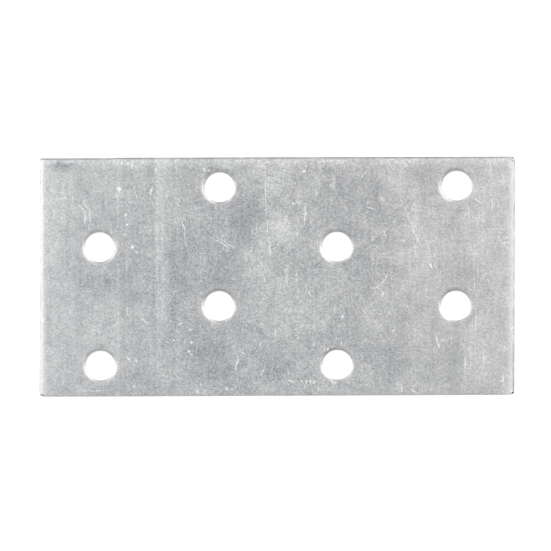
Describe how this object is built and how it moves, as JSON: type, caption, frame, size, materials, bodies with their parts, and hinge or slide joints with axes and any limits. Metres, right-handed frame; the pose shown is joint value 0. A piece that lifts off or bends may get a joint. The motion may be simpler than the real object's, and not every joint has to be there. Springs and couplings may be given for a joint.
{
  "type": "mending plate",
  "caption": "Flat rectangular mending plate of galvanised sheet steel, with staggered punched screw holes for joining timber.",
  "frame": {"origin": "middle of the back face, the face that lies on the timber", "axes": "+X along the plate, +Y across it, +Z out of the punched face"},
  "size_m": [0.08, 0.04, 0.002],
  "materials": {
    "galvanised_steel": "hot-dip galvanised sheet, skin-passed to a matt grey with fine scratches"
  },
  "bodies": {
    "root": {"plate": "galvanised_steel"}
  },
  "joints": []
}
